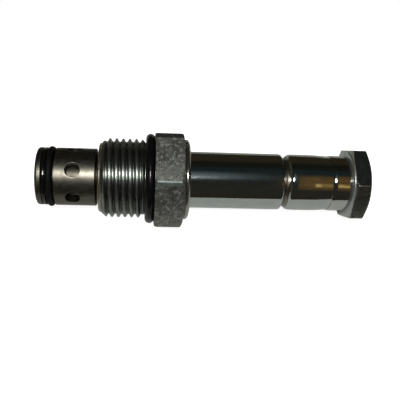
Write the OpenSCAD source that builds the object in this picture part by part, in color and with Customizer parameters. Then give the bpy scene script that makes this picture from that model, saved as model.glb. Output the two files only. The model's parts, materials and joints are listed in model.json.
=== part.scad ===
// Solenoid operated poppet cartridge valve, shown without its coil.
// The valve's axis is X: the nose points to -X and the coil end to +X.
// The origin is the centre of the hex face that seats on the manifold.

/* [Nose and cage] */
// Distance from the seating face to the end of the nose
nose_length = 32.0; // [31.8:0.1:32.6]
// Outside diameter of the cage
nose_d = 15.9; // [15.8:0.05:16]
// Diameter of the flow holes round the cage
cross_hole_d = 4.0; // [3:0.1:4.4]
// Number of flow holes round the cage
cross_hole_count = 6; // [4:1:6]
// Turn of the first flow hole from the top
cross_hole_clock = 13.5; // [0:0.5:60]
// Diameter of the nose port and its seat
seat_d = 8.6; // [8:0.1:9]

/* [Adapter] */
// Major diameter of the 7/8-14 thread
thread_d = 22.05; // [21.95:0.01:22.18]
// Pitch of the thread
thread_pitch = 1.814; // [1.7:0.001:1.9]
// Diameter of the relief under the hex
relief_d = 20.0; // [19.95:0.05:20.4]
// Hex size across flats
hex_af = 25.4; // [25:0.1:27]
// Height of the hex
hex_h = 7.9; // [7:0.1:8]
// Diameter of the round collar above the hex
collar_d = 22.4; // [22.4:0.1:22.8]
// Distance from the seating face to the top of the collar
collar_top = 9.5; // [9.4:0.1:10]

/* [Guide tube] */
// Outside diameter of the guide tube
tube_d = 15.8; // [15.7:0.05:15.85]
// Wall of the guide tube
tube_wall = 0.9; // [0.8:0.05:0.95]
// Distance from the seating face to the end of the tube
tube_end = 49.2; // [48.8:0.1:50]
// Place of the rolled crimp groove
crimp_x = 36.4; // [36.2:0.1:37]
// Depth of the rolled crimp groove
crimp_depth = 1.0; // [0.6:0.1:1.1]

/* [Coil nut] */
// Hex size of the coil nut across flats
nut_af = 19.05; // [18.8:0.05:19.2]
// Distance from the seating face to the underside of the nut
nut_x = 54.2; // [53.8:0.1:54.3]
// Height of the coil nut
nut_h = 5.0; // [4.4:0.1:5.1]

/* [Valve action] */
// Stroke of the armature
armature_travel = 2.0; // [1.2:0.1:2]
// Number of coils in the armature spring
armature_spring_turns = 8; // [6:1:9]
// Number of coils in the poppet spring
poppet_spring_turns = 6; // [4:1:7]

/* [Hidden] */
$fn = 96;
past = 1;                 // how far a cutter runs past the face it cuts
static_gap = 0.04;        // room between pieces that are pressed or screwed together
running_gap = 0.05;       // radial room where a piece slides
contact_gap = 0.02;       // rest gap at a seat

// Cage
nose_r = nose_d / 2;
nose_end = -nose_length;
nose_edge = 0.9;
rim_w = 1.55;
nose_gland_x0 = nose_end + rim_w;
nose_gland_w = 3.45;
nose_gland_x1 = nose_gland_x0 + nose_gland_w;
nose_gland_r = 6.45;
cage_shoulder = -16;
cage_tail_end = -6;
cage_tail_edge = 0.4;
shoulder_edge = 0.25;
port_chamfer = 0.8;
cage_tail_r = 7.55;
cage_bore_r = 5.6;
seat_x = -26;
seat_r = seat_d / 2;
cross_hole_x = -22.05;
cage_gland_x = -12;
cage_gland_w = 2.2;
cage_gland_r = 6.45;
retaining_x = -8.4;
retaining_wire_r = 0.5;

// Seals
nose_o_wire_r = 0.93;
nose_o_x = nose_gland_x1 - nose_o_wire_r - 0.37;
backup_w = 1.05;
backup_out_r = 7.96;
backup_edge = 0.3;
body_o_wire_r = 1.27;
seat_recess_depth = 0.1;

// Adapter
thread_r = thread_d / 2;
thread_depth = 0.5845 * thread_pitch;
crest_half = thread_pitch / 16;
flank_run = thread_depth * tan(30);
ridge_count = 6;
first_ridge_x = -12.5;
adapter_face = -15.3;
adapter_face_r = 9.3;
adapter_bore_r = cage_tail_r + 0.05;
adapter_bore_end = -4.9;
web_bore_r = 4;
chamber_floor = 1.7;
chamber_step = 2.8;
lead_in_r = 10.5;
lead_in_gap = 0.3;
runout = 0.7;
hex_chamfer_r = 15;
seat_chamfer_r = 13.7;
seat_chamfer = 0.7;
coil_chamfer_r = 12.6;
coil_chamfer = 1.1;
collar_edge = 0.7;
chamber_r = 9.7;
lip_x = 8;
corner = 1 / cos(30);

// Guide tube and pole piece
tube_r = tube_d / 2;
tube_in_r = tube_r - tube_wall;
tube_foot = chamber_floor + static_gap;
tube_root_r = tube_r - 0.2;
flange_r = chamber_r - 0.1;
flange_x0 = 5.9;
tube_taper_x = 45;
tube_end_r = tube_r - 0.25;
crimp_left = 1.1;
crimp_right = 1.5;
crimp_flat = 0.25;
pole_r = tube_in_r - static_gap;
pole_face = 33.3;
pole_shoulder_r = tube_r - 0.05;
pole_gland_x = 43.1;
pole_gland_w = 2.2;
pole_gland_r = 5.55;
stud_r = 6.35;
stud_end = 57.8;
stud_pitch = 1.27;
stud_depth = 0.6;
stud_margin = 0.9;
stud_flank = 0.4;
stud_root = 0.06;
socket_af = 5;
socket_depth = 2.2;

// Pieces that move
armature_r = tube_in_r - running_gap;
shim_t = 0.2;
shim_x = pole_face - static_gap - shim_t;
armature_top = shim_x - 0.06 - armature_travel;
armature_foot = 5;
spring_bore_r = 2.7;
spring_bore_floor = 19;
pole_pocket_floor = pole_face + 3;
pin_r = 1.2;
pin_head_r = 1.9;
pin_head_x0 = 5.5;
pin_head_x1 = 11;
pin_tip = 0.4;
cross_pin_x = 8;
cross_pin_r = 0.75;
slot_w = 1.2;
slot_depth = 1;
armature_edge = 0.5;
vent_r = 1;
shim_r = 6.5;

poppet_r = cage_bore_r - 0.03;
poppet_neck_r = 5;
poppet_tip_r = 3.6;
poppet_top = -9.3;
poppet_guide_x = -19.8;
pocket_r = 3.3;
pocket_floor = -15.8;
pilot_hole_r = 0.8;
pilot_insert_r = 2;
pilot_insert_x = -18.8;
poppet_gland_x0 = -14.2;
poppet_gland_w = 1.6;
poppet_gland_r = 4.75;
drain_r = 1.2;
bleed_r = 0.35;
bleed_x = -22.3;
bleed_z = 5.7;
bleed_length = 7.9;
bleed_slope = 25;
poppet_edge = 0.4;

guide_flange_x = cage_tail_end + 0.05;
guide_body_end = -1.2;
guide_hole_count = 3;
guide_hole_r = 0.6;
guide_hole_place = 2.6;
guide_hole_depth = 8;

armature_spring_r = 2.2;
armature_wire_r = 0.35;
poppet_spring_r = 2.6;
poppet_wire_r = 0.3;
spring_steps = 16;
spring_sides = 6;

// Coil nut
nut_end = nut_x + nut_h;
nut_collar_r = 9.45;
nut_hex_x = nut_x + 0.5;
nut_bore_r = stud_r + running_gap;
nut_recess_r = 7.5;
nut_recess_h = 1.3;
nut_ring_wire_r = 0.5;
nut_corner_r = 11.2;
nut_foot_chamfer = 0.5;
nut_end_r = 9.6;
nut_end_chamfer = 0.65;
nut_bore_chamfer = 0.6;

// A body turned about X, from points of [radius, x]
module turned(profile) {
    rotate([0, 90, 0]) rotate_extrude() polygon(profile);
}

// A round bar along X
module rod(r, x0, x1) {
    translate([x0, 0, 0]) rotate([0, 90, 0]) cylinder(r = r, h = x1 - x0);
}

// A square-edged ring about X
module ring(r_in, r_out, x0, x1) {
    turned([[r_in, x0], [r_out, x0], [r_out, x1], [r_in, x1]]);
}

// A ring of round section about X
module o_ring(r_mid, x, wire_r) {
    translate([x, 0, 0]) rotate([0, 90, 0]) rotate_extrude() translate([r_mid, 0]) circle(r = wire_r, $fn = 48);
}

// A hexagonal bar along X with flats at the top and bottom
module hex_bar(af, x0, x1) {
    translate([x0, 0, 0]) rotate([0, 90, 0]) rotate([0, 0, 30])
        cylinder(r = af / 2 * corner, h = x1 - x0, $fn = 6);
}

// Copies spaced evenly about X
module around(count, clock = 0) {
    for (i = [0 : count - 1]) rotate([clock + i * 360 / count, 0, 0]) children();
}

// A coil spring along X, swept as one closed skin
module spring(coil_r, wire_r, x0, x1, turns) {
    rings = turns * spring_steps;
    lift = (x1 - x0 - 2 * wire_r) / rings;
    points = [
        for (i = [0 : rings]) let (a = i * 360 / spring_steps)
            for (k = [0 : spring_sides - 1]) let (b = k * 360 / spring_sides, r = coil_r + wire_r * cos(b))
                [x0 + wire_r + i * lift + wire_r * sin(b), r * cos(a), r * sin(a)]
    ];
    first = [for (k = [0 : spring_sides - 1]) k];
    last = [for (k = [spring_sides - 1 : -1 : 0]) rings * spring_sides + k];
    walls = [
        for (i = [0 : rings - 1])
            for (k = [0 : spring_sides - 1])
                let (n = (k + 1) % spring_sides, a = i * spring_sides, b = a + spring_sides)
                    each [[a + k, b + k, b + n], [a + k, b + n, a + n]]
    ];
    polyhedron(points = points, faces = concat([first], walls, [last]));
}

// The thread is a row of ring-shaped ridges at its true pitch and depth
function ridge(x) = [
    [thread_r - thread_depth, x - crest_half - flank_run],
    [thread_r, x - crest_half],
    [thread_r, x + crest_half],
    [thread_r - thread_depth, x + crest_half + flank_run]
];

module valve_body() {
    thread = [for (i = [0 : ridge_count - 1]) each ridge(first_ridge_x + i * thread_pitch)];
    lead_in = [
        [adapter_face_r, adapter_face],
        [lead_in_r, first_ridge_x - thread_pitch + lead_in_gap],
        [thread_r - thread_depth, first_ridge_x - thread_pitch + crest_half + flank_run]
    ];
    color("gainsboro") difference() {
        union() {
            turned(concat(
                [[0, adapter_face]],
                lead_in,
                thread,
                [[relief_d / 2, first_ridge_x + ridge_count * thread_pitch - runout], [relief_d / 2, 1], [0, 1]]
            ));
            intersection() {
                hex_bar(hex_af, 0, hex_h);
                turned([
                    [0, 0],
                    [seat_chamfer_r, 0],
                    [hex_chamfer_r, seat_chamfer],
                    [hex_chamfer_r, hex_h - coil_chamfer],
                    [coil_chamfer_r, hex_h],
                    [0, hex_h]
                ]);
            }
            turned([
                [0, 1],
                [collar_d / 2, 1],
                [collar_d / 2, collar_top - collar_edge],
                [collar_d / 2 - collar_edge, collar_top],
                [0, collar_top]
            ]);
        }
        // Shallow recess that takes the O-ring in the seating face
        ring(relief_d / 2, relief_d / 2 + 2 * body_o_wire_r + 0.08, -past, seat_recess_depth);
        rod(adapter_bore_r, adapter_face - past, adapter_bore_end);
        o_ring(adapter_bore_r - 0.03, retaining_x, retaining_wire_r);
        rod(web_bore_r, adapter_bore_end - past, chamber_floor + past);
        rod(tube_r + 0.02, chamber_floor, collar_top + past);
        rod(chamber_r, chamber_step, lip_x);
    }
}

module body_o_ring() {
    color("black") o_ring(relief_d / 2 + body_o_wire_r + 0.01, -body_o_wire_r - 0.02, body_o_wire_r);
}

module cage() {
    color("silver") difference() {
        turned([
            [0, nose_end],
            [nose_r - nose_edge, nose_end],
            [nose_r - 0.45 * nose_edge, nose_end + 0.17 * nose_edge],
            [nose_r - 0.17 * nose_edge, nose_end + 0.45 * nose_edge],
            [nose_r, nose_end + nose_edge],
            [nose_r, nose_gland_x0],
            [nose_gland_r, nose_gland_x0],
            [nose_gland_r, nose_gland_x1],
            [nose_r, nose_gland_x1],
            [nose_r, cage_shoulder - shoulder_edge],
            [nose_r - shoulder_edge, cage_shoulder],
            [cage_tail_r, cage_shoulder],
            [cage_tail_r, cage_gland_x - cage_gland_w / 2],
            [cage_gland_r, cage_gland_x - cage_gland_w / 2],
            [cage_gland_r, cage_gland_x + cage_gland_w / 2],
            [cage_tail_r, cage_gland_x + cage_gland_w / 2],
            [cage_tail_r, cage_tail_end - cage_tail_edge],
            [cage_tail_r - cage_tail_edge, cage_tail_end],
            [0, cage_tail_end]
        ]);
        rod(seat_r, nose_end - past, seat_x + past);
        turned([
            [0, nose_end - past],
            [seat_r + port_chamfer + past, nose_end - past],
            [seat_r, nose_end + port_chamfer],
            [0, nose_end + port_chamfer]
        ]);
        rod(cage_bore_r, seat_x, cage_tail_end + past);
        o_ring(cage_tail_r + 0.02, retaining_x, retaining_wire_r);
        around(cross_hole_count, cross_hole_clock)
            translate([cross_hole_x, 0, cage_bore_r - past]) cylinder(d = cross_hole_d, h = nose_r);
    }
}

module nose_backup_ring() {
    x0 = nose_gland_x0 + 0.1;
    color("black") turned([
        [nose_gland_r + 0.05, x0],
        [backup_out_r - backup_edge, x0],
        [backup_out_r, x0 + backup_edge],
        [backup_out_r, x0 + backup_w - backup_edge],
        [backup_out_r - backup_edge, x0 + backup_w],
        [nose_gland_r + 0.05, x0 + backup_w]
    ]);
}

module nose_o_ring() {
    color("black") o_ring(nose_gland_r + nose_o_wire_r + 0.03, nose_o_x, nose_o_wire_r);
}

module cage_o_ring() {
    wire_r = (adapter_bore_r - cage_gland_r) / 2 - 0.01;
    color("black") o_ring((adapter_bore_r + cage_gland_r) / 2, cage_gland_x, wire_r);
}

module cage_retaining_ring() {
    color("gray") o_ring((adapter_bore_r + cage_tail_r) / 2, retaining_x, retaining_wire_r - 0.06);
}

module main_poppet() {
    cone_run = poppet_neck_r - poppet_tip_r;
    tip_x = seat_x + contact_gap - (seat_r - poppet_tip_r);
    color("slategray") difference() {
        turned([
            [0, tip_x],
            [poppet_tip_r, tip_x],
            [poppet_neck_r, tip_x + cone_run],
            [poppet_neck_r, poppet_guide_x],
            [poppet_r, poppet_guide_x + 0.3],
            [poppet_r, poppet_gland_x0],
            [poppet_gland_r, poppet_gland_x0],
            [poppet_gland_r, poppet_gland_x0 + poppet_gland_w],
            [poppet_r, poppet_gland_x0 + poppet_gland_w],
            [poppet_r, poppet_top - poppet_edge],
            [poppet_r - poppet_edge, poppet_top],
            [0, poppet_top]
        ]);
        rod(pocket_r, pocket_floor, poppet_top + past);
        rod(pilot_insert_r + static_gap / 2, pilot_insert_x, pocket_floor + past);
        rod(drain_r, tip_x - past, pilot_insert_x + past);
        // The bleed hole climbs from the neck to the floor of the spring pocket
        translate([bleed_x, 0, bleed_z]) rotate([0, 90 + bleed_slope, 0]) cylinder(r = bleed_r, h = bleed_length);
    }
}

module poppet_seal_ring() {
    color("ivory") ring(
        poppet_gland_r + 0.05, cage_bore_r - 0.015, poppet_gland_x0 + 0.05, poppet_gland_x0 + poppet_gland_w - 0.05
    );
}

module pilot_seat() {
    color("goldenrod") ring(pilot_hole_r, pilot_insert_r, pilot_insert_x + static_gap, pocket_floor);
}

module poppet_spring() {
    color("lightsteelblue") spring(
        poppet_spring_r, poppet_wire_r, pocket_floor + 0.02, guide_flange_x - 0.02, poppet_spring_turns
    );
}

module pin_guide() {
    color("darkgoldenrod") difference() {
        turned([
            [pin_r + running_gap, guide_flange_x],
            [adapter_bore_r - 0.2, guide_flange_x],
            [adapter_bore_r - 0.2, adapter_bore_end - static_gap],
            [web_bore_r - static_gap, adapter_bore_end - static_gap],
            [web_bore_r - static_gap, guide_body_end],
            [pin_r + running_gap, guide_body_end]
        ]);
        around(guide_hole_count)
            translate([guide_flange_x - past, 0, guide_hole_place]) rotate([0, 90, 0])
                cylinder(r = guide_hole_r, h = guide_hole_depth);
    }
}

module pilot_pin() {
    seat_contact = pocket_floor + contact_gap * 2;
    color("silver") difference() {
        turned([
            [0, seat_contact - pin_tip],
            [pilot_hole_r - pin_tip, seat_contact - pin_tip],
            [pin_r, seat_contact + pin_r - pilot_hole_r],
            [pin_r, pin_head_x0],
            [pin_head_r, pin_head_x0],
            [pin_head_r, pin_head_x1],
            [0, pin_head_x1]
        ]);
        translate([cross_pin_x, -armature_r, 0]) rotate([-90, 0, 0])
            cylinder(r = cross_pin_r + static_gap / 2, h = 2 * armature_r);
    }
}

module cross_pin() {
    half = armature_r - 0.2;
    color("dimgray") translate([cross_pin_x, -half, 0]) rotate([-90, 0, 0])
        cylinder(r = cross_pin_r, h = 2 * half);
}

module armature() {
    color("lightgray") difference() {
        turned([
            [0, armature_foot],
            [armature_r - armature_edge, armature_foot],
            [armature_r, armature_foot + armature_edge],
            [armature_r, armature_top - armature_edge],
            [armature_r - armature_edge, armature_top],
            [0, armature_top]
        ]);
        rod(pin_head_r + static_gap / 2, armature_foot - past, pin_head_x1 + static_gap);
        rod(vent_r, pin_head_x1, spring_bore_floor + past);
        rod(spring_bore_r, spring_bore_floor, armature_top + past);
        translate([cross_pin_x, -armature_r - past, 0]) rotate([-90, 0, 0])
            cylinder(r = cross_pin_r + static_gap / 2, h = 2 * (armature_r + past));
        around(4, 45)
            translate([armature_foot - past, -slot_w / 2, armature_r - slot_depth])
                cube([armature_top - armature_foot + 2 * past, slot_w, slot_depth + past]);
    }
}

module armature_spring() {
    color("lightsteelblue") spring(
        armature_spring_r, armature_wire_r, spring_bore_floor + 0.02, pole_pocket_floor - 0.02, armature_spring_turns
    );
}

module anti_residual_shim() {
    color("gold") ring(spring_bore_r + 0.1, shim_r, shim_x, shim_x + shim_t);
}

// The outline of the crimp at a radius, with the groove's flanks and floor
function crimp(r) = [
    [r, crimp_x - crimp_left],
    [r - 0.3 * crimp_depth, crimp_x - 0.75 * crimp_left],
    [r - crimp_depth, crimp_x - crimp_flat],
    [r - crimp_depth, crimp_x + crimp_flat],
    [r - 0.35 * crimp_depth, crimp_x + 0.7 * crimp_right],
    [r, crimp_x + crimp_right]
];
function backwards(list) = [for (i = [len(list) - 1 : -1 : 0]) list[i]];

module guide_tube() {
    color("lightgray") turned(concat(
        [
            [tube_in_r, tube_foot],
            [tube_root_r, tube_foot],
            [tube_root_r, flange_x0],
            [flange_r, flange_x0],
            [flange_r, lip_x - static_gap],
            [tube_root_r, lip_x - static_gap],
            [tube_root_r, collar_top],
            [tube_r, collar_top]
        ],
        crimp(tube_r),
        [
            [tube_r, tube_taper_x],
            [tube_end_r, tube_end - 0.3],
            [tube_end_r - 0.3, tube_end],
            [tube_in_r, tube_end]
        ],
        backwards(crimp(tube_in_r))
    ));
}

module tube_o_ring() {
    color("black") o_ring(
        (chamber_r + tube_root_r) / 2, (chamber_step + flange_x0) / 2 + 0.4, (chamber_r - tube_root_r) / 2 - 0.02
    );
}

module pole_piece() {
    stud = [
        for (x = [nut_x + stud_margin : stud_pitch : stud_end - stud_margin])
            each [
                [stud_r, x - stud_flank],
                [stud_r - stud_depth, x - stud_root],
                [stud_r - stud_depth, x + stud_root],
                [stud_r, x + stud_flank]
            ]
    ];
    color("silver") difference() {
        turned(concat(
            [[0, pole_face], [pole_r, pole_face]],
            crimp(pole_r),
            [
                [pole_r, pole_gland_x - pole_gland_w / 2],
                [pole_gland_r, pole_gland_x - pole_gland_w / 2],
                [pole_gland_r, pole_gland_x + pole_gland_w / 2],
                [pole_r, pole_gland_x + pole_gland_w / 2],
                [pole_r, tube_end + static_gap],
                [pole_shoulder_r - 0.2, tube_end + static_gap],
                [pole_shoulder_r, tube_end + 0.25],
                [pole_shoulder_r, nut_x - 0.25],
                [pole_shoulder_r - 0.2, nut_x - static_gap],
                [stud_r, nut_x - static_gap]
            ],
            stud,
            [[stud_r, stud_end - 0.5], [stud_r - 0.5, stud_end], [0, stud_end]]
        ));
        rod(spring_bore_r, pole_face - past, pole_pocket_floor);
        // Hex socket in the end of the stud
        hex_bar(socket_af, stud_end - socket_depth, stud_end + past);
    }
}

module pole_o_ring() {
    wire_r = (tube_in_r - pole_gland_r) / 2 - 0.01;
    color("black") o_ring((tube_in_r + pole_gland_r) / 2, pole_gland_x, wire_r);
}

module coil_nut() {
    color("dimgray") difference() {
        union() {
            turned([
                [0, nut_x],
                [tube_r + 0.1, nut_x],
                [nut_collar_r - 0.3, nut_x + 0.1],
                [nut_collar_r, nut_x + 0.35],
                [nut_collar_r, nut_end - 1],
                [0, nut_end - 1]
            ]);
            intersection() {
                hex_bar(nut_af, nut_hex_x, nut_end);
                turned([
                    [0, nut_hex_x],
                    [nut_collar_r - 0.05, nut_hex_x],
                    [nut_corner_r, nut_hex_x + nut_foot_chamfer],
                    [nut_corner_r, nut_end - nut_end_chamfer],
                    [nut_end_r, nut_end],
                    [0, nut_end]
                ]);
            }
        }
        rod(nut_bore_r, nut_x - past, nut_end + past);
        rod(nut_recess_r, nut_x - past, nut_x + nut_recess_h);
        turned([
            [0, nut_end - nut_bore_chamfer],
            [nut_bore_r, nut_end - nut_bore_chamfer],
            [nut_bore_r + nut_bore_chamfer + past, nut_end + past],
            [0, nut_end + past]
        ]);
    }
}

module nut_seal_ring() {
    color("black") o_ring((nut_recess_r + nut_bore_r) / 2, nut_x + 0.7, nut_ring_wire_r);
}

valve_body();
body_o_ring();
cage();
nose_backup_ring();
nose_o_ring();
cage_o_ring();
cage_retaining_ring();
main_poppet();
poppet_seal_ring();
pilot_seat();
poppet_spring();
pin_guide();
pilot_pin();
cross_pin();
armature();
armature_spring();
anti_residual_shim();
guide_tube();
tube_o_ring();
pole_piece();
pole_o_ring();
coil_nut();
nut_seal_ring();
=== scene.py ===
"""A solenoid cartridge valve without its coil, lying on a white sheet.

The valve's axis is X: the nose points to -X and the coil nut to +X. Outlines are written in millimetres
as (x, radius) and turned round X, and every mesh is scaled to metres when it is made.
"""

import json
import math

import bmesh
import bpy
from mathutils import Matrix, Vector


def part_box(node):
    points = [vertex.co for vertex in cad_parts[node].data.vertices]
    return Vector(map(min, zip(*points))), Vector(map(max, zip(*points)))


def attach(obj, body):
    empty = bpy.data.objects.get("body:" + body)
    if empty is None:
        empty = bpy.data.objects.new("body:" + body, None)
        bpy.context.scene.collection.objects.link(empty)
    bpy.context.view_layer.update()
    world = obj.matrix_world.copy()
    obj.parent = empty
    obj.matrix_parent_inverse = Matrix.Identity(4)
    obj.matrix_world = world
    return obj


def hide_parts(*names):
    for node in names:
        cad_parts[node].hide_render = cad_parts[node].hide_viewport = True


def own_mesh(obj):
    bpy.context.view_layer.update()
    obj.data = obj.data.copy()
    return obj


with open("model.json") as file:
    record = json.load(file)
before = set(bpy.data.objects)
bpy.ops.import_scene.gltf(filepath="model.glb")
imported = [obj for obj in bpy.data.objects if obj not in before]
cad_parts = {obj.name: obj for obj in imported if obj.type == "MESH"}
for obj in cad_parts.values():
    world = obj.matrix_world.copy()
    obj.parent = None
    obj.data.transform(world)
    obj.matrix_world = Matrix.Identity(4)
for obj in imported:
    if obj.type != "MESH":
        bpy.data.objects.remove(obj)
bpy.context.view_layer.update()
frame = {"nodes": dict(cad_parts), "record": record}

MM = 0.001
TURN = 2 * math.pi


def box_mm(node):
    """The lowest and highest corner of a CAD node, in millimetres."""
    low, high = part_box(node)
    return low / MM, high / MM


# Driving sizes, read from the frame
NOSE_END = box_mm("cage")[0].x
CAGE_TAIL = box_mm("cage")[1].x
NOSE_R = box_mm("cage")[1].z
ADAPTER_FACE = box_mm("valve_body")[0].x
COLLAR_TOP = box_mm("valve_body")[1].x
HEX_FLAT = box_mm("valve_body")[1].z
TUBE_FOOT = box_mm("guide_tube")[0].x
TUBE_END = box_mm("guide_tube")[1].x
FLANGE_R = box_mm("guide_tube")[1].z
POLE_FACE = box_mm("pole_piece")[0].x
STUD_END = box_mm("pole_piece")[1].x
NUT_FOOT = box_mm("coil_nut")[0].x
NUT_END = box_mm("coil_nut")[1].x
NUT_FLAT = box_mm("coil_nut")[1].z
MOUNTS = {mount["name"]: mount for mount in frame["record"]["mounts"]}
THREAD_R = MOUNTS["cavity_thread"]["dims"]["r_mm"]
TUBE_R = MOUNTS["coil_tube"]["dims"]["r_mm"]

# The camera: where it aims, from how far, and from which side
AIM = Vector((9.6, -5.29, -2.35)) * MM
DISTANCE = 164.15 * MM
AZIMUTH = math.radians(-10.63)
ELEVATION = math.radians(64.9)
ROLL = math.radians(10.95)
LENS = 52.28
SHIFT = 0.03

# The valve rests on a flat of the hex and a flat of the nut
HEX_EDGE = 7.9
REST_SLOPE = math.atan((HEX_FLAT - NUT_FLAT) / (NUT_END - HEX_EDGE))

# Places that shapes and surfaces share
CAGE_SHOULDER = -16.0
CAGE_GLAND = (-13.1, -10.9)
WIRE_GROOVE = (-8.9, -8.6, -8.2, -7.9)
WIRE_GROOVE_DEPTH = 0.45
ADAPTER_FLOOR = -4.9
TUBE_GLAND = (1.7, 2.8)
FLANGE = (5.9, 7.96)
POLE_GLAND = (42.0, 44.2)
POLE_GLAND_R = 5.55
ROOT_R = 10.05
THREAD_START = -14.4
THREAD_END = -2.75
CRIMP_X = 36.4


# ---------------------------------------------------------------- mesh tools

def soft_corners(outline, steps=4):
    """The (x, r) points of a closed outline of (x, r, reach) corners, each rounded over its reach."""
    points = []
    for i, (x, r, reach) in enumerate(outline):
        if reach == 0:
            points.append((x, r))
            continue
        corner = Vector((x, r))
        ends = []
        for other in (outline[i - 1], outline[(i + 1) % len(outline)]):
            side = Vector(other[:2]) - corner
            length = max(side.length, 1e-9)
            ends.append(corner + side * (min(reach, 0.48 * length) / length))
        for k in range(steps + 1):
            t = k / steps
            point = ends[0] * (1 - t) ** 2 + corner * (2 * t * (1 - t)) + ends[1] * t ** 2
            points.append(tuple(point))
    return points


def turn_angles(steps, corners=0, start=0.0, spread=()):
    """Angles of one full turn from start, both ends included, with extra ones beside each of the corners."""
    angles = [start + TURN * i / steps for i in range(steps + 1)]
    for c in range(corners + 1):
        for offset in spread:
            for side in (-1, 1):
                angle = start + TURN * c / max(corners, 1) + side * offset
                if start < angle < start + TURN:
                    angles.append(angle)
    return sorted(angles)


def revolve(outline_at, angles, gap=None):
    """Vertices and faces of a closed skin round X. outline_at(angle) gives (x, r, reach) corners.

    gap is a pair of x places between which the skin is left open.
    """
    columns = [soft_corners(outline_at(angle)) for angle in angles]
    rows = len(columns[0])
    verts = []
    for angle, column in zip(angles, columns):
        for x, r in column:
            verts.append((x, r * math.cos(angle), r * math.sin(angle)))
    faces = []
    for k in range(rows):
        after = (k + 1) % rows
        if gap:
            ends = sorted((columns[0][k][0], columns[0][after][0]))
            if abs(ends[0] - gap[0]) < 1e-6 and abs(ends[1] - gap[1]) < 1e-6:
                continue
        for i in range(len(angles) - 1):
            a, b = i * rows, (i + 1) * rows
            faces.append((a + k, a + after, b + after, b + k))
    return verts, faces


def skin(columns, closed=True):
    """Vertices and faces over a list of equally long point loops, joined one to the next."""
    size = len(columns[0])
    verts = [point for column in columns for point in column]
    faces = []
    for i in range(len(columns) - 1):
        a, b = i * size, (i + 1) * size
        for k in range(size if closed else size - 1):
            n = (k + 1) % size
            faces.append((a + k, a + n, b + n, b + k))
    return verts, faces


def piece(name, parts, material, body, nodes, crease=40.0):
    """One closed mesh from (vertices, faces) parts in millimetres, riding on a body in place of its nodes."""
    mesh = bpy.data.meshes.new(name)
    build = bmesh.new()
    for verts, faces in parts:
        made = [build.verts.new(v) for v in verts]
        for face in faces:
            build.faces.new([made[i] for i in face])
    bmesh.ops.remove_doubles(build, verts=build.verts, dist=2e-4)
    bmesh.ops.dissolve_degenerate(build, edges=build.edges, dist=1e-5)
    bmesh.ops.recalc_face_normals(build, faces=build.faces)
    bmesh.ops.scale(build, vec=(MM, MM, MM), verts=build.verts)
    build.to_mesh(mesh)
    build.free()
    mesh.shade_smooth()
    mesh.set_sharp_from_angle(angle=math.radians(crease))
    made = bpy.data.objects.new(name, mesh)
    bpy.context.scene.collection.objects.link(made)
    mesh.materials.append(material)
    weighted = made.modifiers.new("even_shading", "WEIGHTED_NORMAL")
    weighted.keep_sharp = True
    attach(made, body)
    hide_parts(*nodes)
    return made


def hexagon(flat, corner_round):
    """A function of the angle: the radius of a hexagon with flats at the top and bottom and round corners."""
    centre = (flat - corner_round) / math.cos(math.pi / 6)

    def radius(angle):
        off_flat = (angle % (math.pi / 3)) - math.pi / 6
        off_corner = math.pi / 6 - abs(off_flat)
        plain = flat / math.cos(off_flat)
        reach = math.atan2(corner_round / 2, centre + corner_round * math.cos(math.pi / 6))
        if off_corner >= reach:
            return plain
        side = centre * math.sin(off_corner)
        return centre * math.cos(off_corner) + math.sqrt(corner_round ** 2 - side ** 2)

    return radius


CORNER_SPREAD = [math.radians(d) for d in (0.3, 0.6, 0.9, 1.15, 1.4)]


def thread_rows(angle, first, last, phase, pitch, root, envelope, shape):
    """Outline corners of a right-hand thread at one angle, from first to last along X.

    shape lists (share of pitch, share of depth). The radius stays under envelope(x), which meets the
    root at both ends, so that turns past the ends close up into them.
    """
    rows = []
    turns = int((last - first) / pitch) + 3
    for m in range(-2, turns):
        for place, height in shape:
            x = phase + pitch * (m + place + angle / TURN)
            crest = root + height * (envelope(None) - root)
            if first < x < last:
                rows.append((x, min(crest, envelope(x)), 0))
            else:
                rows.append((min(max(x, first), last), root, 0))
    return rows


def thread_shape(crest, flank):
    """One pitch of a thread with a rounded crest and root: crest and flank are shares of the pitch."""
    shape = []
    half = crest / 2
    for share, height in ((-half - flank, 0.03), (-half - 0.82 * flank, 0.13), (-half - 0.15 * flank, 0.9)):
        shape.append((share, height))
    shape.append((-half * 0.7, 0.99))
    shape.append((half * 0.7, 0.99))
    for share, height in ((half + 0.15 * flank, 0.9), (half + 0.82 * flank, 0.13), (half + flank, 0.03)):
        shape.append((share, height))
    return shape


# ---------------------------------------------------------------- material tools

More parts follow.
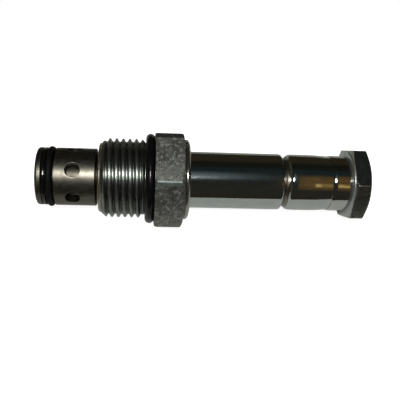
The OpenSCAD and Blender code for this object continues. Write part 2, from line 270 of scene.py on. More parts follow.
class Shader:
    """A node tree with short calls to add nodes and maths to it."""

    def __init__(self, tree):
        self.tree = tree
        tree.nodes.clear()

    def add(self, kind, inputs=None, **settings):
        made = self.tree.nodes.new(kind)
        for name, value in settings.items():
            setattr(made, name, value)
        for key, value in (inputs or {}).items():
            if isinstance(value, bpy.types.NodeSocket):
                self.tree.links.new(value, made.inputs[key])
            else:
                made.inputs[key].default_value = value
        return made

    def math(self, operation, a, b=0.0, clamp=False):
        made = self.add("ShaderNodeMath", {0: a, 1: b}, operation=operation, use_clamp=clamp)
        return made.outputs[0]

    def ramp(self, value, low, high, to_low=0.0, to_high=1.0):
        """value from low to high becomes to_low to to_high, smoothly and clamped."""
        made = self.add(
            "ShaderNodeMapRange",
            {"Value": value, "From Min": low, "From Max": high, "To Min": to_low, "To Max": to_high},
            interpolation_type="SMOOTHSTEP",
        )
        return made.outputs["Result"]

    def mix(self, share, a, b):
        made = self.add("ShaderNodeMix", {0: share}, data_type="RGBA")
        for socket, value in ((made.inputs[6], a), (made.inputs[7], b)):
            if isinstance(value, bpy.types.NodeSocket):
                self.tree.links.new(value, socket)
            else:
                socket.default_value = (*value, 1.0)
        return made.outputs[2]

    def noise(self, where, scale, detail=3.0, roughness=0.55):
        made = self.add(
            "ShaderNodeTexNoise",
            {"Vector": where, "Scale": scale, "Detail": detail, "Roughness": roughness},
        )
        return made.outputs["Fac"]

    def along(self, value, scale, detail=2.0):
        """Noise that changes with one number only, such as the place along the axis."""
        made = self.add(
            "ShaderNodeTexNoise",
            {"W": value, "Scale": scale, "Detail": detail},
            noise_dimensions="1D",
        )
        return made.outputs["Fac"]


def tinted(colour, factor):
    return tuple(min(1.0, c * factor) for c in colour)


def surface(name, colour, roughness, metallic=1.0, mottle=0.12, speckle=0.0, turned=0.0, grain=0.0,
            uneven=0.04, tint=None, specular=0.5, dark_after=None, scuffed=None):
    """A procedural surface.

    mottle: share by which the colour drifts over about 2 mm. speckle: the same over 0.3 mm.
    turned: depth in micrometres of fine rings round X. grain: depth of a fine all-over roughness.
    uneven: how far the roughness wanders. tint: a second colour that the drift runs towards.
    dark_after: the place along X, in millimetres, past which the metal is painted nearly black: painted shade for
    the gap that it runs into.
    scuffed: two places along X, in millimetres, between which a roller has left the metal matt.
    """
    material = bpy.data.materials.new(name)
    material.use_nodes = True
    s = Shader(material.node_tree)
    where = s.add("ShaderNodeTexCoord").outputs["Object"]
    x = s.add("ShaderNodeSeparateXYZ", {0: where}).outputs[0]
    drift = s.ramp(s.noise(where, 420.0, 4.0), 0.3, 0.7)
    colour_out = s.mix(drift, tinted(colour, 1 - mottle), tint or tinted(colour, 1 + mottle))
    if speckle:
        dots = s.ramp(s.noise(where, 2600.0, 2.0, 0.7), 0.42, 0.66)
        colour_out = s.mix(s.math("MULTIPLY", dots, speckle), colour_out, tinted(colour, 1.7))
    # painted shade: past dark_after the colour falls to 0.12 of itself, as in a shadowed gap
    if dark_after is not None:
        gap_shade = s.ramp(x, (dark_after - 0.08) * MM, (dark_after + 0.04) * MM)
        colour_out = s.mix(gap_shade, colour_out, tinted(colour, 0.12))
    smear = s.noise(where, 900.0, 3.0)
    rough = s.ramp(smear, 0.25, 0.75, max(0.02, roughness - uneven), roughness + uneven)
    if scuffed:
        matt = s.math("MULTIPLY", s.ramp(x, (scuffed[0] - 0.2) * MM, (scuffed[0] + 0.2) * MM),
                      s.ramp(x, (scuffed[1] - 0.2) * MM, (scuffed[1] + 0.2) * MM, 1.0, 0.0))
        rough = s.math("ADD", rough, s.math("MULTIPLY", matt, 0.24))
        colour_out = s.mix(matt, colour_out, (0.27, 0.25, 0.205))
    shader = s.add(
        "ShaderNodeBsdfPrincipled",
        {"Base Color": colour_out, "Roughness": rough, "Metallic": metallic, "Specular IOR Level": specular},
    )
    heights = []
    if turned:
        rings = s.along(x, 5200.0)
        heights.append(s.math("MULTIPLY", rings, turned))
    if grain:
        heights.append(s.math("MULTIPLY", s.noise(where, 5200.0, 3.0, 0.65), grain))
    if heights:
        height = heights[0] if len(heights) == 1 else s.math("ADD", heights[0], heights[1])
        bump = s.add("ShaderNodeBump", {"Strength": 1.0, "Distance": 1e-6, "Height": height})
        s.tree.links.new(bump.outputs[0], shader.inputs["Normal"])
    out = s.add("ShaderNodeOutputMaterial")
    s.tree.links.new(shader.outputs[0], out.inputs[0])
    return material


def radius_from_axis(s, axes):
    out_y = s.math("MULTIPLY", axes.outputs[1], axes.outputs[1])
    out_z = s.math("MULTIPLY", axes.outputs[2], axes.outputs[2])
    return s.math("SQRT", s.math("ADD", out_y, out_z))


def height_angle(s, axes):
    """The angle round X in degrees: 0 on the near side (-Y), 90 at the top and 180 on the far side."""
    return s.math("DEGREES", s.math("ARCTAN2", axes.outputs[2], s.math("MULTIPLY", axes.outputs[1], -1.0)))


def zinc_surface():
    """Zinc plate: dull and speckled on the forged hex, smooth on the rolled thread, bright on the collar."""
    material = bpy.data.materials.new("zinc_plate")
    material.use_nodes = True
    s = Shader(material.node_tree)
    where = s.add("ShaderNodeTexCoord").outputs["Object"]
    axes = s.add("ShaderNodeSeparateXYZ", {0: where})
    x = axes.outputs[0]
    radius = radius_from_axis(s, axes)
    edge = HEX_EDGE * MM
    along_hex = s.math("MULTIPLY", s.ramp(x, -0.0002, 0.0001), s.ramp(x, edge - 0.0001, edge + 0.0001, 1.0, 0.0))
    forged = s.math("MULTIPLY", along_hex, s.ramp(radius, 0.0118, 0.0124))
    collar = s.ramp(x, edge - 0.0001, edge + 0.0001)
    height_round = height_angle(s, axes)
    below_corner = s.math("FLOORED_MODULO", height_round, 60.0)
    # painted sheen: a band just below the corner that faces the camera (55 to 61 degrees round X) is painted
    # lighter and greener, and is made smoother
    corner_sheen = s.math("MULTIPLY", s.ramp(height_round, 55.2, 55.9), s.ramp(height_round, 60.5, 61.5, 1.0, 0.0))
    corner_sheen = s.math("MULTIPLY", along_hex, corner_sheen)
    drift = s.ramp(s.noise(where, 330.0, 5.0, 0.62), 0.34, 0.66)
    flakes = s.ramp(s.noise(where, 950.0, 3.0, 0.65), 0.51, 0.63)
    pits = s.ramp(s.noise(where, 2300.0, 2.0, 0.6), 0.52, 0.66)
    hex_colour = s.mix(drift, (0.10, 0.103, 0.094), (0.20, 0.206, 0.188))
    # painted floor light: each flat is painted lighter along the corner at its lower angle round X, so the flat
    # under the front corner brightens towards the floor
    hex_colour = s.mix(s.ramp(below_corner, 4.0, 34.0, 0.42, 0.0), hex_colour, (0.46, 0.48, 0.44))
    hex_colour = s.mix(s.math("MULTIPLY", flakes, 0.7), hex_colour, (0.52, 0.55, 0.50))
    hex_colour = s.mix(s.math("MULTIPLY", pits, 0.7), hex_colour, (0.025, 0.026, 0.023))
    hex_colour = s.mix(s.math("MULTIPLY", corner_sheen, 0.55), hex_colour, (0.27, 0.35, 0.33))
    # painted shade: a band just past the far top corner (115 to 124 degrees round X) is painted nearly black, and
    # is made rougher
    far_corner_shade = s.math("MULTIPLY", s.ramp(height_round, 114.7, 115.5), s.ramp(height_round, 122.0, 125.0, 1.0, 0.0))
    hex_colour = s.mix(s.math("MULTIPLY", far_corner_shade, 0.85), hex_colour, (0.02, 0.02, 0.018))
    plain_colour = s.mix(drift, (0.22, 0.24, 0.222), (0.27, 0.288, 0.264))
    lip = s.ramp(x, (ADAPTER_FACE + 0.75) * MM, (ADAPTER_FACE + 0.9) * MM, 1.0, 0.0)
    plain_colour = s.mix(lip, plain_colour, (0.42, 0.39, 0.31))
    plain_colour = s.mix(collar, plain_colour, (0.43, 0.42, 0.39))
    # painted shade: the thread's roots are painted nearly black
    groove = s.math("MULTIPLY", s.ramp(radius, (ROOT_R + 0.1) * MM, (ROOT_R + 0.45) * MM, 1.0, 0.0),
                    s.math("MULTIPLY", s.ramp(x, THREAD_START * MM, (THREAD_START + 0.3) * MM),
                           s.ramp(x, (THREAD_END - 0.3) * MM, THREAD_END * MM, 1.0, 0.0)))
    plain_colour = s.mix(s.math("MULTIPLY", groove, 0.7), plain_colour, (0.03, 0.033, 0.03))
    colour = s.mix(forged, plain_colour, hex_colour)
    smear = s.ramp(s.noise(where, 800.0, 3.0), 0.3, 0.7, -0.03, 0.03)
    rough = s.math("ADD", s.ramp(forged, 0.0, 1.0, 0.30, 0.50), s.math("MULTIPLY", collar, -0.12))
    rough = s.math("ADD", s.math("ADD", rough, smear), s.math("MULTIPLY", corner_sheen, -0.08))
    rough = s.math("ADD", rough, s.math("MULTIPLY", far_corner_shade, 0.3))
    metallic = s.ramp(forged, 0.0, 1.0, 0.96, 0.72)
    height = s.math(
        "ADD",
        s.math("MULTIPLY", s.math("MULTIPLY", s.noise(where, 1900.0, 5.0, 0.7), forged), 150.0),
        s.math("MULTIPLY", s.along(x, 4200.0), 1.5),
    )
    bump = s.add("ShaderNodeBump", {"Strength": 1.0, "Distance": 1e-6, "Height": height})
    shader = s.add(
        "ShaderNodeBsdfPrincipled",
        {"Base Color": colour, "Roughness": rough, "Metallic": metallic, "Normal": bump.outputs[0]},
    )
    out = s.add("ShaderNodeOutputMaterial")
    s.tree.links.new(shader.outputs[0], out.inputs[0])
    return material


def nut_surface():
    """The coil nut: burnished dark hex faces over a pale machined underside."""
    material = bpy.data.materials.new("nut_steel")
    material.use_nodes = True
    s = Shader(material.node_tree)
    where = s.add("ShaderNodeTexCoord").outputs["Object"]
    x = s.add("ShaderNodeSeparateXYZ", {0: where}).outputs[0]
    underside = s.ramp(x, (NUT_FOOT + 0.55) * MM, (NUT_FOOT + 0.75) * MM, 1.0, 0.0)
    drift = s.ramp(s.noise(where, 420.0, 4.0), 0.3, 0.7)
    burnished = s.mix(drift, (0.26, 0.27, 0.26), (0.38, 0.39, 0.38))
    machined = s.mix(drift, (0.48, 0.50, 0.49), (0.60, 0.62, 0.61))
    smear = s.ramp(s.noise(where, 900.0, 3.0), 0.25, 0.75, -0.04, 0.04)
    height = s.math(
        "ADD",
        s.math("MULTIPLY", s.noise(where, 5200.0, 3.0, 0.65), 3.0),
        s.math("MULTIPLY", s.along(x, 5200.0), 2.0),
    )
    bump = s.add("ShaderNodeBump", {"Strength": 1.0, "Distance": 1e-6, "Height": height})
    shader = s.add(
        "ShaderNodeBsdfPrincipled",
        {
            "Base Color": s.mix(underside, burnished, machined),
            "Roughness": s.math("ADD", s.ramp(underside, 0.0, 1.0, 0.20, 0.36), smear),
            "Metallic": s.ramp(underside, 0.0, 1.0, 0.98, 0.90),
            "Normal": bump.outputs[0],
        },
    )
    out = s.add("ShaderNodeOutputMaterial")
    s.tree.links.new(shader.outputs[0], out.inputs[0])
    return material


MATERIALS = {
    "zinc_plate": zinc_surface(),
    # the cage is painted dark past its shoulder: painted shade in the gap under the adapter's face
    "cage_steel": surface("cage_steel", (0.150, 0.141, 0.116), 0.385, turned=5.0, mottle=0.1,
                          tint=(0.170, 0.161, 0.134), dark_after=CAGE_SHOULDER),
    "nitrile": surface("nitrile", (0.004, 0.004, 0.004), 0.24, metallic=0.0, grain=2.0, mottle=0.25, specular=0.3),
    "backup_plastic": surface("backup_plastic", (0.004, 0.004, 0.0045), 0.16, metallic=0.0, mottle=0.3),
    "spring_steel": surface("spring_steel", (0.30, 0.30, 0.31), 0.3, grain=2.0),
    "hardened_steel": surface("hardened_steel", (0.085, 0.078, 0.062), 0.42, turned=3.0),
    "glide_ring": surface("glide_ring", (0.80, 0.78, 0.70), 0.5, metallic=0.0, mottle=0.05, grain=2.0),
    "bronze": surface("bronze", (0.55, 0.38, 0.18), 0.34, turned=5.0),
    "brass": surface("brass", (0.75, 0.58, 0.28), 0.3, grain=3.0),
    "armature_iron": surface("armature_iron", (0.50, 0.50, 0.50), 0.3, turned=4.0, grain=2.0),
    "tube_steel": surface("tube_steel", (0.57, 0.60, 0.60), 0.070, turned=0.25, mottle=0.05, uneven=0.012,
                          scuffed=(CRIMP_X - 0.65, CRIMP_X + 0.7)),
    "pole_steel": surface("pole_steel", (0.57, 0.58, 0.56), 0.075, turned=0.4, mottle=0.06, uneven=0.015),
    "nut_steel": nut_surface(),
}
DULL_NITRILE = surface("dull_nitrile", (0.004, 0.004, 0.004), 0.6, metallic=0.0, grain=4.0, mottle=0.25,
                       specular=0.15)


# ---------------------------------------------------------------- pieces

SEAT_R = 4.3
SEAT_X = -26.0
CAGE_BORE_R = 5.6
CAGE_TAIL_R = 7.55
UNDERCUT_R = 6.9
NOSE_GLAND = (NOSE_END + 1.55, NOSE_END + 5.0)
GLAND_R = 6.45
HOLE_R = 2.0
HOLE_X = -22.05
HOLE_BAND = 3.0
HOLE_COUNT = 6
HOLE_CLOCK = math.radians(90 + 13.5)


def hole_patch(centre_angle, side_steps=12):
    """The wall of the cage round one flow hole: outside, chamfer, bore of the hole and inside."""
    half_turn = math.pi / HOLE_COUNT
    border = []
    for side in range(4):
        for k in range(side_steps):
            t = -1 + 2 * k / side_steps
            across, up = [(t, -1), (1, t), (-t, 1), (-1, -t)][side]
            border.append((across * half_turn, up * HOLE_BAND))
    count = len(border)
    ring = [-0.75 * math.pi + TURN * i / count for i in range(count)]

    def place(swing, along, r):
        angle = centre_angle + swing
        return (HOLE_X + along, r * math.cos(angle), r * math.sin(angle))

    def circle_point(turn, r_hole, r_wall, sink=0.0):
        across = r_hole * math.cos(turn)
        height = math.sqrt(r_wall ** 2 - across ** 2) - sink
        swing = math.atan2(across, height)
        return swing, r_hole * math.sin(turn), math.hypot(across, height)

    def between(share, r_hole, r_wall):
        loop = []
        for turn, (swing, along) in zip(ring, border):
            s0, a0, _ = circle_point(turn, r_hole, r_wall)
            loop.append(place(s0 + (swing - s0) * share, a0 + (along - a0) * share, r_wall))
        return loop

    chamfer = 0.07
    loops = [between(share, HOLE_R + chamfer, NOSE_R) for share in (1.0, 0.7, 0.42, 0.2, 0.08, 0.0)]
    for widen, sink in ((0.35, 0.3), (0.0, 1.0), (0.0, 4.0)):
        loops.append([place(*circle_point(t, HOLE_R + widen * chamfer, NOSE_R, sink * chamfer)) for t in ring])
    loops += [between(share, HOLE_R, CAGE_BORE_R) for share in (0.0, 0.1, 0.4, 0.7, 1.0)]
    return skin(loops)


def make_cage():
    band = (HOLE_X - HOLE_BAND, HOLE_X + HOLE_BAND)
    outline = [
        (NOSE_END, SEAT_R + 0.8, 0.1),
        (NOSE_END, NOSE_R, 0.85),
        (NOSE_GLAND[0], NOSE_R, 0.12),
        (NOSE_GLAND[0], GLAND_R, 0.15),
        (NOSE_GLAND[1], GLAND_R, 0.15),
        (NOSE_GLAND[1], NOSE_R, 0.12),
        (band[0], NOSE_R, 0),
        (band[1], NOSE_R, 0),
        (CAGE_SHOULDER, NOSE_R, 0.25),
        (CAGE_SHOULDER, UNDERCUT_R, 0.1),
        (CAGE_SHOULDER + 0.9, UNDERCUT_R, 0.1),
        (CAGE_SHOULDER + 1.0, CAGE_TAIL_R, 0.05),
        (CAGE_GLAND[0], CAGE_TAIL_R, 0.1),
        (CAGE_GLAND[0], GLAND_R, 0.1),
        (CAGE_GLAND[1], GLAND_R, 0.1),
        (CAGE_GLAND[1], CAGE_TAIL_R, 0.1),
        (WIRE_GROOVE[0], CAGE_TAIL_R, 0.05),
        (WIRE_GROOVE[1], CAGE_TAIL_R - WIRE_GROOVE_DEPTH, 0.2),
        (WIRE_GROOVE[2], CAGE_TAIL_R - WIRE_GROOVE_DEPTH, 0.2),
        (WIRE_GROOVE[3], CAGE_TAIL_R, 0.05),
        (CAGE_TAIL, CAGE_TAIL_R, 0.4),
        (CAGE_TAIL, CAGE_BORE_R, 0.15),
        (band[1], CAGE_BORE_R, 0),
        (band[0], CAGE_BORE_R, 0),
        (SEAT_X, CAGE_BORE_R, 0.1),
        (SEAT_X, SEAT_R, 0.05),
        (NOSE_END + 0.8, SEAT_R, 0.1),
    ]
    steps = 12
    start = HOLE_CLOCK - math.pi / HOLE_COUNT
    angles = turn_angles(steps * HOLE_COUNT, start=start)
    parts = [revolve(lambda angle: outline, angles, gap=band)]
    for i in range(HOLE_COUNT):
        parts.append(hole_patch(HOLE_CLOCK + TURN * i / HOLE_COUNT, steps))
    piece("cage_turned", parts, MATERIALS["cage_steel"], "valve", ["cage"])


PITCH = 1.814
TOP_VIEW = math.radians(27.0)
CREST_AT_TOP = -12.5
RELIEF_R = 10.0
LIP_R = 9.65
ADAPTER_BORE_R = 7.6
FLANGE_BORE_R = 9.7
PIN_BORE_R = 4.0


def adapter_envelope(x):
    """The largest radius that the thread has at x: the lead-in cone, the full crest, the run-out."""
    if x is None:
        return THREAD_R
    lead_in = ROOT_R + (x - THREAD_START) * 0.76
    run_out = ROOT_R + (THREAD_END - x) * 1.1
    return max(ROOT_R, min(THREAD_R, lead_in, run_out))


def make_valve_body():
    hex_r = hexagon(HEX_FLAT, 0.7)
    phase = CREST_AT_TOP - PITCH * TOP_VIEW / TURN
    shape = thread_shape(0.14, 0.36)
    collar_r = 11.2
    tube_bore_r = TUBE_R + 0.02
    # the cones of the hex: radius where each starts, radius where it ends, and its length along X
    seat_cone = (13.75, 15.0, 0.75)
    coil_cone = (12.55, 15.0, 1.15)

    def outline_at(angle):
        r_hex = hex_r(angle)
        x_seat = seat_cone[2] * (r_hex - seat_cone[0]) / (seat_cone[1] - seat_cone[0])
        x_coil = HEX_EDGE - coil_cone[2] * (r_hex - coil_cone[0]) / (coil_cone[1] - coil_cone[0])
        outline = [
            (ADAPTER_FACE, ADAPTER_BORE_R, 0.15),
            (ADAPTER_FACE, LIP_R - 0.35, 0.15),
            (ADAPTER_FACE + 0.2, LIP_R - 0.05, 0.15),
            (THREAD_START - 0.15, LIP_R, 0.2),
            (THREAD_START, ROOT_R, 0),
        ]
        outline += thread_rows(
            angle, THREAD_START, THREAD_END, phase, PITCH, ROOT_R, adapter_envelope, shape
        )
        outline += [
            (THREAD_END, ROOT_R, 0),
            (THREAD_END + 0.15, RELIEF_R, 0),
            (0.1, RELIEF_R, 0),
            (0.1, 12.45, 0.05),
            (0.0, 12.55, 0.05),
        ]
        if x_seat > 0.02:
            outline += [(0.0, seat_cone[0], 0.15), (x_seat, r_hex, 0.18)]
        else:
            outline += [(0.0, min(seat_cone[0], r_hex - 0.25), 0.1), (0.02, r_hex, 0.12)]
        outline += [
            (x_coil, r_hex, 0.16),
            (HEX_EDGE, coil_cone[0], 0.25),
            (HEX_EDGE, collar_r - 0.45, 0.05),
            (HEX_EDGE + 0.45, collar_r, 0.3),
            (COLLAR_TOP - 0.5, collar_r, 0.35),
            (COLLAR_TOP, collar_r - 0.75, 0.25),
            (COLLAR_TOP, tube_bore_r, 0.06),
            (FLANGE[1] + 0.04, tube_bore_r, 0),
            (FLANGE[1] + 0.04, FLANGE_BORE_R, 0.1),
            (TUBE_GLAND[1], FLANGE_BORE_R, 0.1),
            (TUBE_GLAND[1], tube_bore_r, 0),
            (TUBE_GLAND[0], tube_bore_r, 0),
            (TUBE_GLAND[0], PIN_BORE_R, 0.1),
            (ADAPTER_FLOOR, PIN_BORE_R, 0.1),
            (ADAPTER_FLOOR, ADAPTER_BORE_R, 0.1),
            (WIRE_GROOVE[3], ADAPTER_BORE_R, 0.05),
            (WIRE_GROOVE[2], ADAPTER_BORE_R + 0.47, 0.2),
            (WIRE_GROOVE[1], ADAPTER_BORE_R + 0.47, 0.2),
            (WIRE_GROOVE[0], ADAPTER_BORE_R, 0.05),
        ]
        return outline

    angles = turn_angles(168, corners=6, spread=CORNER_SPREAD)
    parts = [revolve(outline_at, angles)]
    piece("threaded_adapter", parts, MATERIALS["zinc_plate"], "valve", ["valve_body"], crease=32)


def round_seal(name, node, body, slot, finish=None):
    """An O-ring of the CAD node's size, with the faint ridge that its mould leaves round it."""
    low, high = box_mm(node)
    wire = (high.x - low.x) / 2
    middle_x = (high.x + low.x) / 2
    middle_r = high.z - wire
    outline = []
    for k in range(28):
        turn = TURN * k / 28
        across = math.cos(turn)
        ridge = 0.02 * wire if k % 14 == 0 else 0.0
        outline.append((middle_x + wire * math.sin(turn), middle_r + (wire - 0.02 * wire + ridge) * across, 0))
    parts = [revolve(lambda angle: outline, turn_angles(144))]
    piece(name, parts, finish or MATERIALS[slot], body, [node], crease=60)


def make_backup_ring():
    low, high = box_mm("nose_backup_ring")
    inner = GLAND_R + 0.05
    outline = [
        (low.x, inner, 0.1),
        (low.x, high.z, 0.45),
        (high.x, high.z, 0.3),
        (high.x, inner, 0.1),
    ]
    parts = [revolve(lambda angle: outline, turn_angles(144))]
    piece("nose_ring", parts, MATERIALS["backup_plastic"], "valve", ["nose_backup_ring"])


TUBE_IN_R = 7.0
TUBE_TAPER = 45.0
TUBE_MOUTH_R = TUBE_R - 0.25
CRIMP_DEPTH = 1.0


def crimp_rows(r):
    """The rolled groove that locks the tube to the pole piece: steep on the left, a long shoulder on the right."""
    return [
        (CRIMP_X - 1.15, r, 0.35),
        (CRIMP_X - 0.3, r - CRIMP_DEPTH, 0.3),
        (CRIMP_X + 0.35, r - CRIMP_DEPTH, 0.08),
        (CRIMP_X + 1.0, r - 0.27 * CRIMP_DEPTH, 0.2),
        (CRIMP_X + 1.5, r - 0.06 * CRIMP_DEPTH, 0.2),
        (CRIMP_X + 2.4, r, 0.3),
    ]


def make_guide_tube():
    root = TUBE_R - 0.2
    inner = crimp_rows(TUBE_IN_R)
    outline = [
        (TUBE_FOOT, TUBE_IN_R, 0.1),
        (TUBE_FOOT, root, 0.1),
        (FLANGE[0], root, 0.05),
        (FLANGE[0], FLANGE_R, 0.1),
        (FLANGE[1], FLANGE_R, 0.1),
        (FLANGE[1], root, 0.05),
        (COLLAR_TOP - 0.1, root, 0.05),
        (COLLAR_TOP - 0.05, TUBE_R, 0.03),
        (12.0, TUBE_R, 0),
        (30.0, TUBE_R, 0),
    ]
    outline += crimp_rows(TUBE_R)
    outline += [
        (39.5, TUBE_R, 0),
        (TUBE_TAPER, TUBE_R, 1.5),
        (TUBE_END, TUBE_MOUTH_R, 0.15),
        (TUBE_END, TUBE_IN_R, 0.1),
    ]
    outline += inner[::-1]
    parts = [revolve(lambda angle: outline, turn_angles(160))]
    piece("polished_tube", parts, MATERIALS["tube_steel"], "valve", ["guide_tube"])


STUD_R = 6.35
STUD_PITCH = 1.27
SOCKET_FLAT = 2.5
SOCKET_FLOOR = STUD_END - 2.2


def make_pole_piece():
    r = TUBE_IN_R - 0.04
    shoulder_r = TUBE_R - 0.05
    socket_r = hexagon(SOCKET_FLAT, 0.08)
    stud_from = NUT_FOOT + 0.4
    stud_to = STUD_END - 0.5
    root = STUD_R - 0.6
    shape = thread_shape(0.16, 0.36)

    def envelope(x):
        return STUD_R if x is None else min(STUD_R, root + 1.6 * min(x - stud_from, stud_to - x))

    def outline_at(angle):
        r_socket = socket_r(angle)
        outline = [(POLE_FACE, 2.7, 0.1), (POLE_FACE, r, 0.2)]
        outline += crimp_rows(r)
        outline += [
            (POLE_GLAND[0], r, 0.05),
            (POLE_GLAND[0], POLE_GLAND_R, 0.1),
            (POLE_GLAND[1], POLE_GLAND_R, 0.1),
            (POLE_GLAND[1], r, 0.05),
            (TUBE_END + 0.04, r, 0),
            (TUBE_END + 0.04, shoulder_r - 0.2, 0.05),
            (TUBE_END + 0.3, shoulder_r - 0.1, 0.12),
            (TUBE_END + 0.9, shoulder_r, 0.25),
            (NUT_FOOT - 0.04, shoulder_r, 0.3),
            (NUT_FOOT - 0.04, root, 0.1),
            (stud_from, root, 0),
        ]
        outline += thread_rows(
            angle, stud_from, stud_to, NUT_FOOT, STUD_PITCH, root, envelope, shape
        )
        outline += [
            (stud_to, root, 0),
            (STUD_END, root - 0.35, 0.12),
            (STUD_END, 3.25, 0.06),
            (STUD_END - 0.35, r_socket, 0.05),
            (SOCKET_FLOOR, r_socket, 0.1),
            (SOCKET_FLOOR, 1.0, 0.1),
            (SOCKET_FLOOR - 0.5, 0.0, 0),
            (POLE_FACE + 3.0, 0.0, 0),
            (POLE_FACE + 3.0, 2.7, 0.15),
        ]
        return outline

    angles = turn_angles(144, corners=6, spread=CORNER_SPREAD[:3])
    parts = [revolve(outline_at, angles)]
    piece("turned_pole_piece", parts, MATERIALS["pole_steel"], "valve", ["pole_piece"], crease=32)


def make_coil_nut():
    hex_r = hexagon(NUT_FLAT, 0.5)
    collar_r = 9.45
    hex_foot = NUT_FOOT + 0.5
    foot_cone = (9.5, 11.2, 0.5)
    end_cone = (9.55, 11.2, 0.7)
    bore_r = STUD_R + 0.05

    def outline_at(angle):
        r_hex = hex_r(angle)
        x_foot = hex_foot + foot_cone[2] * (r_hex - foot_cone[0]) / (foot_cone[1] - foot_cone[0])
        x_end = NUT_END - max(0.0, end_cone[2] * (r_hex - end_cone[0]) / (end_cone[1] - end_cone[0]))
        return [
            (NUT_FOOT, 7.5, 0.1),
            (NUT_FOOT, 8.05, 0.15),
            (NUT_FOOT + 0.12, collar_r - 0.3, 0.15),
            (NUT_FOOT + 0.32, collar_r, 0.2),
            (hex_foot, collar_r, 0.04),
            (x_foot, r_hex, 0.2),
            (x_end - 0.05, r_hex, 0.22),
            (NUT_END, end_cone[0] - 0.1, 0.2),
            (NUT_END, bore_r + 0.6, 0.1),
            (NUT_END - 0.6, bore_r, 0.05),
            (NUT_FOOT + 1.3, bore_r, 0.05),
            (NUT_FOOT + 1.3, 7.5, 0.1),
        ]

    angles = turn_angles(144, corners=6, spread=CORNER_SPREAD)
    parts = [revolve(outline_at, angles)]
    piece("retaining_nut", parts, MATERIALS["nut_steel"], "coil_nut", ["coil_nut"], crease=32)


def coil_spring(name, node, turns, wire):
    """A compression spring in the box of its CAD node, with closed end coils."""
    low, high = box_mm(node)
    middle = high.z - wire
    end_turns = 0.8
    ring_steps = 40
    count = int(turns * ring_steps)
    start, end = low.x + wire, high.x - wire
    flat = 2.05 * wire * end_turns
    loops = []
    for i in range(count + 1):
        turn = i / ring_steps
        left = min(turn, end_turns) * 2.05 * wire
        right = max(0.0, turn - (turns - end_turns)) * 2.05 * wire
        middle_share = min(max((turn - end_turns) / (turns - 2 * end_turns), 0.0), 1.0)
        x = start + left + right + (end - start - 2 * flat) * middle_share
        swing = TURN * turn
        loop = []
        for k in range(12):
            b = TURN * k / 12
            r = middle + wire * math.cos(b)
            loop.append((x + wire * math.sin(b), r * math.cos(swing), r * math.sin(swing)))
        loops.append(loop)
    verts, faces = skin(loops)
    size = len(loops[0])
    faces.append(tuple(range(size)))
    faces.append(tuple(range(len(verts) - 1, len(verts) - 1 - size, -1)))
    return piece(name, [(verts, faces)], MATERIALS["spring_steel"], "valve", [node], crease=60)


def make_springs():
    poppet = coil_spring("poppet_return_spring", "poppet_spring", 6, 0.3)
    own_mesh(poppet)
    main = coil_spring("armature_return_spring", "armature_spring", 8, 0.35)
    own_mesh(main)


def finish_inner_nodes():
    """The pieces inside keep their CAD shape, and take a turned, ground or moulded surface."""
    slots = {part["node"]: part["material_slot"] for part in frame["record"]["subparts"]}
    for name, node in frame["nodes"].items():
        if node.hide_render:
            continue
        slot = slots[name]
        node.data.materials.clear()
        node.data.materials.append(MATERIALS[slot])
        node.data.shade_smooth()
        node.data.set_sharp_from_angle(angle=math.radians(30))


make_cage()
make_valve_body()
make_backup_ring()
round_seal("nose_seal", "nose_o_ring", "valve", "nitrile", DULL_NITRILE)
round_seal("body_seal", "body_o_ring", "valve", "nitrile")
make_guide_tube()
make_pole_piece()
make_coil_nut()
round_seal("nut_seal", "nut_seal_ring", "nut_seal", "nitrile")
make_springs()


# ---------------------------------------------------------------- floor, light and camera

SHEET_SIDES = (-68.0, 57.0)
SHEET_ENDS = (-150.0, 190.0)


def make_floor():
    """A flat white sheet under the valve, which touches the hex and the nut."""
    mesh = bpy.data.meshes.new("white_sheet")
    build = bmesh.new()
    steps = 8
    grid = []
    for i in range(steps + 1):
        x = SHEET_ENDS[0] + (SHEET_ENDS[1] - SHEET_ENDS[0]) * i / steps
        z = -HEX_FLAT + (x - HEX_EDGE) * math.tan(REST_SLOPE) - 0.02
        row = []
        for k in range(steps + 1):
            y = SHEET_SIDES[0] + (SHEET_SIDES[1] - SHEET_SIDES[0]) * k / steps
            row.append(build.verts.new((x * MM, y * MM, z * MM)))
        grid.append(row)
    for i in range(steps):
        for k in range(steps):
            build.faces.new((grid[i][k], grid[i + 1][k], grid[i + 1][k + 1], grid[i][k + 1]))
    build.to_mesh(mesh)
    build.free()
    sheet = bpy.data.objects.new("white_sheet", mesh)
    bpy.context.scene.collection.objects.link(sheet)
    material = bpy.data.materials.new("white_card")
    material.use_nodes = True
    s = Shader(material.node_tree)
    seen = s.add("ShaderNodeLightPath").outputs["Is Camera Ray"]
    across = s.add("ShaderNodeSeparateXYZ", {0: s.add("ShaderNodeTexCoord").outputs["Object"]}).outputs[1]
    white = s.mix(s.ramp(across, 0.015, 0.045), (0.57, 0.59, 0.565), (0.33, 0.33, 0.29))
    matte = s.add("ShaderNodeBsdfDiffuse", {"Color": white})
    glow = s.add("ShaderNodeEmission", {"Color": (1, 1, 1, 1), "Strength": s.math("MULTIPLY", seen, 0.93)})
    both = s.add("ShaderNodeAddShader", {0: matte.outputs[0], 1: glow.outputs[0]})
    out = s.add("ShaderNodeOutputMaterial")
    s.tree.links.new(both.outputs[0], out.inputs[0])
    mesh.materials.append(material)


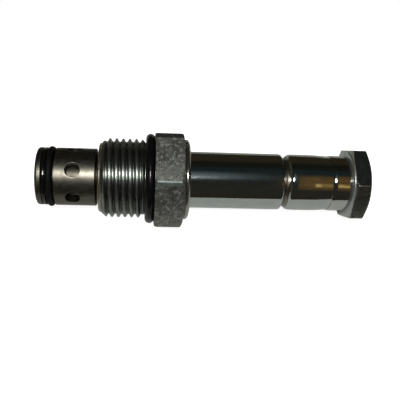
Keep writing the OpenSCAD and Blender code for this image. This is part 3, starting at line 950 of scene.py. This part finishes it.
def make_world():
    """A dim room, white to the camera: darkest overhead, brown behind, one warm area and a haze by the lamp."""
    world = bpy.data.worlds.new("room")
    bpy.context.scene.world = world
    world.use_nodes = True
    s = Shader(world.node_tree)
    to = s.add("ShaderNodeTexCoord").outputs["Generated"]
    axes = s.add("ShaderNodeSeparateXYZ", {0: to})
    x = axes.outputs[0]
    round_x = height_angle(s, axes)
    round_x = s.math("FLOORED_MODULO", round_x, 360.0)
    base = s.mix(s.ramp(round_x, 30.0, 75.0), (0.027, 0.025, 0.020), (0.014, 0.020, 0.020))
    base = s.mix(s.ramp(round_x, 108.0, 128.0), base, (0.011, 0.011, 0.008))
    base = s.mix(s.ramp(round_x, 138.0, 156.0), base, (0.027, 0.022, 0.013))
    base = s.mix(s.ramp(x, -0.8, -0.4, 1.0, 0.0), base, (0.062, 0.056, 0.042))
    haze = s.math("MULTIPLY", s.ramp(round_x, 62.0, 82.0), s.ramp(round_x, 84.0, 104.0, 1.0, 0.0))
    haze = s.math("MULTIPLY", haze, s.math("MULTIPLY", s.ramp(x, -0.02, 0.06), s.ramp(x, 0.06, 0.25, 1.0, 0.0)))
    base = s.mix(haze, base, (0.115, 0.138, 0.144))
    warm_x = s.math("MULTIPLY", s.ramp(x, 0.23, 0.29), s.ramp(x, 0.46, 0.54, 1.0, 0.0))
    warm_round = s.math("MULTIPLY", s.ramp(round_x, 28.0, 40.0), s.ramp(round_x, 76.0, 100.0, 1.0, 0.0))
    patches = s.ramp(s.noise(to, 7.0, 2.0), 0.35, 0.65, 0.7, 1.15)
    warm = s.math("MULTIPLY", s.math("MULTIPLY", warm_x, warm_round), patches)
    room = s.mix(warm, base, (0.135, 0.078, 0.026))
    streak = s.math("MULTIPLY", s.ramp(round_x, 42.0, 48.0), s.ramp(round_x, 55.0, 62.0, 1.0, 0.0))
    gold_x = s.math("MULTIPLY", s.ramp(x, 0.295, 0.325), s.ramp(x, 0.35, 0.40, 1.0, 0.3))
    streak = s.math("MULTIPLY", streak, s.math("MULTIPLY", warm_x, gold_x))
    room = s.mix(streak, room, (0.52, 0.38, 0.13))
    seen = s.add("ShaderNodeLightPath").outputs["Is Camera Ray"]
    colour = s.mix(seen, room, (1.0, 1.0, 1.0))
    back = s.add("ShaderNodeBackground", {"Color": colour, "Strength": 1.0})
    out = s.add("ShaderNodeOutputWorld")
    s.tree.links.new(back.outputs[0], out.inputs[0])


def make_lights():
    """One soft lamp above the camera."""
    lamp = bpy.data.lights.new("lamp", "SUN")
    lamp.energy = 2.05
    lamp.angle = math.radians(12.0)
    lamp.color = (1.0, 0.99, 0.97)
    holder = bpy.data.objects.new("lamp", lamp)
    bpy.context.scene.collection.objects.link(holder)
    height = math.radians(74.3)
    towards = Vector((-0.06, -math.cos(height), math.sin(height)))
    holder.rotation_mode = "QUATERNION"
    holder.rotation_quaternion = towards.to_track_quat("Z", "Y")


def make_camera():
    data = bpy.data.cameras.new("camera")
    data.lens = LENS
    data.shift_x = SHIFT
    data.clip_start = 0.01
    data.clip_end = 10.0
    camera = bpy.data.objects.new("camera", data)
    bpy.context.scene.collection.objects.link(camera)
    flat = math.cos(ELEVATION)
    back = Vector((math.sin(AZIMUTH) * flat, -math.cos(AZIMUTH) * flat, math.sin(ELEVATION)))
    camera.matrix_world = (
        Matrix.Translation(AIM + back * DISTANCE)
        @ back.to_track_quat("Z", "Y").to_matrix().to_4x4()
        @ Matrix.Rotation(ROLL, 4, "Z")
    )
    bpy.context.scene.camera = camera


finish_inner_nodes()
make_floor()
make_world()
make_lights()
make_camera()
bpy.context.scene.view_settings.view_transform = "Standard"
